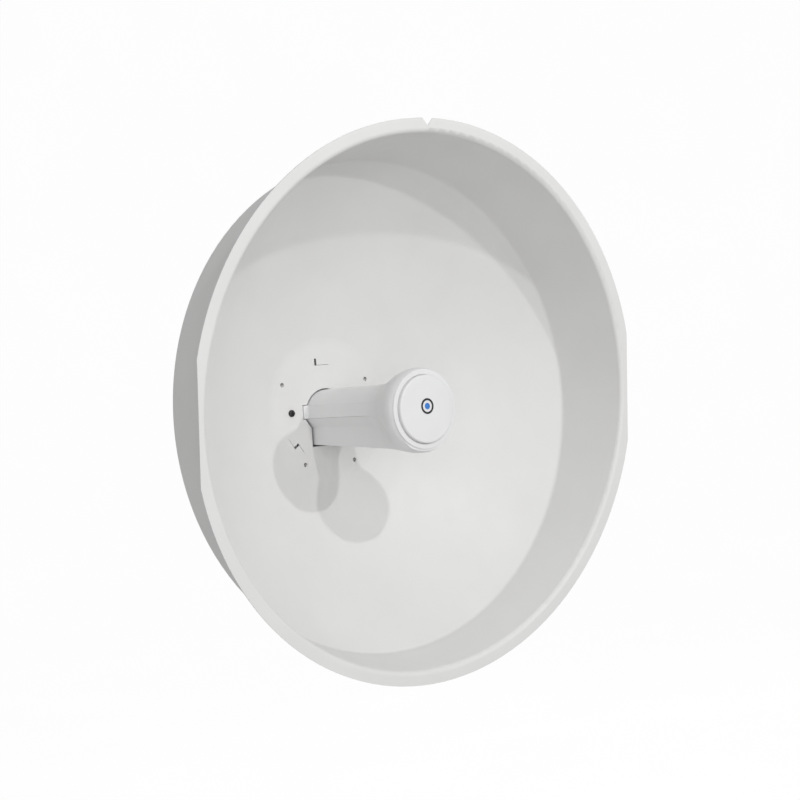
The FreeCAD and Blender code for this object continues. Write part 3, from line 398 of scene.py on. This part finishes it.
def feed_bell():
    """Bell whose outline turns smoothly from the faceted tube into a round head."""
    ring_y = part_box("bezel_ring")[0].y
    widest = max(radius for _, radius, _ in BELL_SPOTS)
    reaches = [(turn, tube_reach(turn)) for turn in bell_turns()]

    def section(grow, back, radius=TUBE_R, drop=0.0):
        share = (radius - TUBE_R) / (widest - TUBE_R)
        loop = []
        for turn, reach in reaches:
            r = reach + (widest - reach) * min(share, 1.0) + grow
            loop.append((r * math.cos(turn), ring_y + back, r * math.sin(turn) - drop))
        return loop

    outer = [section(SKIRT, SKIRT_END)]
    outer += [section(SKIRT, *spot) for spot in BELL_SPOTS]
    inner = [section(-BELL_WALL, *spot) for spot in reversed(BELL_SPOTS[1:])]
    inner += [section(-BELL_WALL, SKIRT_STEP), section(SKIRT_FIT, SKIRT_STEP + 0.0001),
              section(SKIRT_FIT, SKIRT_END)]
    builder = bmesh.new()
    loft(builder, outer + inner, closed=True)
    new_piece("feed_bell", builder, "feed", "white_plastic", "feed_head_barrel")


def feed_disc():
    """Front disc with a slight crown and a rolled edge."""
    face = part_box("front_cap")[0].y
    front = [(TIP_R, face)]
    for share in (0.25, 0.5, 0.75):
        front.append((CAP_R * share, face + CAP_CROWN * share ** 2))
    edge = rounded([(CAP_R * 0.9, face + CAP_CROWN * 0.81), (CAP_R, face + CAP_CROWN),
                    (CAP_R, face + CAP_DEEP)], CAP_EDGE)
    inside = CAP_R - CAP_WALL
    back = rounded([(CAP_R - 0.0004, face + CAP_DEEP + 0.0002), (inside, face + CAP_DEEP),
                    (inside, face + CAP_WALL + 0.0002), (TIP_R, face + CAP_WALL)], 0.0006, 3)
    builder = bmesh.new()
    loft(builder, [circle(r, y) for r, y in front + edge + back])
    new_piece("feed_disc", builder, "feed", "white_plastic", "front_cap")


def bezel():
    """Ring round the disc, with soft edges."""
    low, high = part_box("bezel_ring")
    out = high.x
    y = low.y
    inward, backward = BEZEL_STEP
    inside = CAP_R + CAP_GAP
    profile = [(inside, high.y - 0.0001), (inside, y), (out, y), (out, y + backward),
               (out - inward, y + backward), (out - inward, high.y), (inside + 0.00005, high.y)]
    builder = bmesh.new()
    loft(builder, [circle(r, y) for r, y in rounded(profile, BEZEL_EDGE, 4)], closed=True)
    new_piece("bezel", builder, "feed", "white_plastic", "bezel_ring")


def thread_loop(x, y, z):
    """Loop of a right-hand V thread where the plane at y cuts it."""
    loop = []
    for i in range(SHANK_SIDES):
        turn = i / SHANK_SIDES
        depth = 1 - abs(2 * ((y / THREAD_PITCH + turn) % 1) - 1)
        r = BOLT_R - THREAD_DEPTH * depth
        loop.append((x + r * math.cos(math.tau * turn), y, z + r * math.sin(math.tau * turn)))
    return loop


def square_loop(x, y, z):
    """Square neck drawn with as many points as the round shank has."""
    loop = []
    for i in range(SHANK_SIDES):
        turn = math.tau * i / SHANK_SIDES
        r = BOLT_R / max(abs(math.cos(turn)), abs(math.sin(turn)))
        loop.append((x + r * math.cos(turn), y, z + r * math.sin(turn)))
    return loop


def carriage_bolt(builder, x, z):
    """Domed head, square neck, plain shank and a rolled thread."""
    low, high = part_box("carriage_bolts")
    seat = low.y + HEAD_TALL
    loops = []
    for step in range(1, DOME_STEPS + 1):
        turn = math.pi / 2 * step / DOME_STEPS
        y = low.y + (HEAD_TALL - HEAD_EDGE) * (1 - math.cos(turn))
        loops.append(circle(HEAD_R * math.sin(turn), y, SHANK_SIDES, x, z))
    loops.append(circle(HEAD_R, seat, SHANK_SIDES, x, z))
    loops += [square_loop(x, seat + 0.00001, z), square_loop(x, seat + NECK_LONG, z)]
    thread = seat + NECK_LONG + PLAIN_LONG
    loops.append(circle(BOLT_R - 0.0001, seat + NECK_LONG + 0.0003, SHANK_SIDES, x, z))
    loops.append(circle(BOLT_R - 0.0001, thread, SHANK_SIDES, x, z))
    step = THREAD_PITCH / THREAD_RINGS
    count = int((high.y - TIP_LONG - thread) / step)
    loops += [thread_loop(x, thread + step * (i + 1), z) for i in range(count)]
    loops.append(circle(BOLT_R - THREAD_DEPTH - 0.0002, high.y, SHANK_SIDES, x, z))
    loft(builder, loops)


def carriage_bolts():
    builder = bmesh.new()
    for x in (-BOLT_X, BOLT_X):
        for z in (-BOLT_Z, BOLT_Z):
            carriage_bolt(builder, x, z)
    new_piece("threaded_bolts", builder, "pole_mount", "galvanised_steel", "carriage_bolts")


def coil_spring():
    """Round-wire spring that stands on the housing's floor."""
    low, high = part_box("latch_spring")
    centre = (low + high) / 2
    mean = (high.x - low.x) / 2 - WIRE_R
    rise = high.z - low.z - 2 * WIRE_R
    steps = round(SPRING_TURNS * SPRING_STEPS)
    around = [math.tau * k / WIRE_SIDES for k in range(WIRE_SIDES)]
    up = Vector((0, 0, 1))
    loops = []
    for i in range(steps + 1):
        turn = math.tau * SPRING_TURNS * i / steps
        out = Vector((math.cos(turn), math.sin(turn), 0))
        middle = Vector((centre.x, centre.y, low.z + WIRE_R + rise * i / steps)) + out * mean
        loops.append([middle + (out * math.cos(a) + up * math.sin(a)) * WIRE_R for a in around])
    builder = bmesh.new()
    loft(builder, loops)
    piece = new_piece("coil_spring", builder, "dish", "stainless_steel", "latch_spring")
    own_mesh(piece)


# --- studio ----------------------------------------------------------------------------
def studio_shell():
    """Seamless round floor that curves up into a pale backdrop."""
    mesh = bpy.data.meshes.new("studio")
    shell = bmesh.new()
    flat = STUDIO_RADIUS - STUDIO_BEND
    section = [(0.0, FLOOR_Z), (flat, FLOOR_Z)]
    for step in range(1, 13):
        turn = math.pi / 2 * step / 12
        section.append((flat + STUDIO_BEND * math.sin(turn),
                        FLOOR_Z + STUDIO_BEND * (1 - math.cos(turn))))
    section.append((STUDIO_RADIUS, FLOOR_Z + STUDIO_TALL))
    line = [shell.verts.new((r, 0, z)) for r, z in section]
    edges = [shell.edges.new(pair) for pair in zip(line, line[1:])]
    bmesh.ops.spin(shell, geom=line + edges, cent=(0, 0, 0), axis=(0, 0, 1), angle=math.tau, steps=96,
                   use_duplicate=False)
    bmesh.ops.remove_doubles(shell, verts=shell.verts, dist=0.0001)
    shell.to_mesh(mesh)
    shell.free()
    for face in mesh.polygons:
        face.use_smooth = True
    piece = bpy.data.objects.new("studio", mesh)
    scene.collection.objects.link(piece)
    s = Surface("studio_white")
    s.colour(s.noise(3, 2), shade(0.04), shade(0.05))
    s.fixed(Emission_Color=(1, 1, 1, 1), Roughness=0.9, Specular_IOR_Level=0.0)
    seen = s.tree.nodes.new("ShaderNodeLightPath").outputs["Is Camera Ray"]
    brightness = s.spread(seen, AMBIENT, BACKDROP, 0, 1)
    s.tree.links.new(brightness, s.shader.inputs["Emission Strength"])
    mesh.materials.append(s.material)


def soft_light(name, towards, size, power, distance):
    """Round light on the line from the feed's head in a direction, facing back along it."""
    data = bpy.data.lights.new(name, "AREA")
    data.shape = "DISK"
    data.size = size
    data.energy = power
    light = bpy.data.objects.new(name, data)
    way = Vector(towards).normalized()
    light.location = Vector(HEAD_CENTRE) + way * distance
    light.rotation_euler = way.to_track_quat("Z", "Y").to_euler()
    scene.collection.objects.link(light)


def add_camera():
    data = bpy.data.cameras.new("camera")
    data.lens = CAMERA_LENS
    data.clip_end = 50
    camera = bpy.data.objects.new("camera", data)
    turn = (Matrix.Rotation(math.radians(-CAMERA_TURN), 4, "Z")
            @ Matrix.Rotation(math.radians(90 - CAMERA_DIP), 4, "X")
            @ Matrix.Rotation(math.radians(-CAMERA_ROLL), 4, "Z"))
    camera.matrix_world = Matrix.Translation(CAMERA_AT) @ turn
    scene.collection.objects.link(camera)
    scene.camera = camera


def add_world():
    world = bpy.data.worlds.new("studio_air")
    world.use_nodes = True
    world.node_tree.nodes["Background"].inputs["Color"].default_value = (1, 1, 1, 1)
    world.node_tree.nodes["Background"].inputs["Strength"].default_value = AMBIENT
    scene.world = world


dress_cad_nodes()
feed_bell()
feed_disc()
bezel()
carriage_bolts()
coil_spring()
studio_shell()
for light in LIGHTS:
    soft_light(*light)
add_camera()
add_world()
scene.view_settings.view_transform = "Standard"
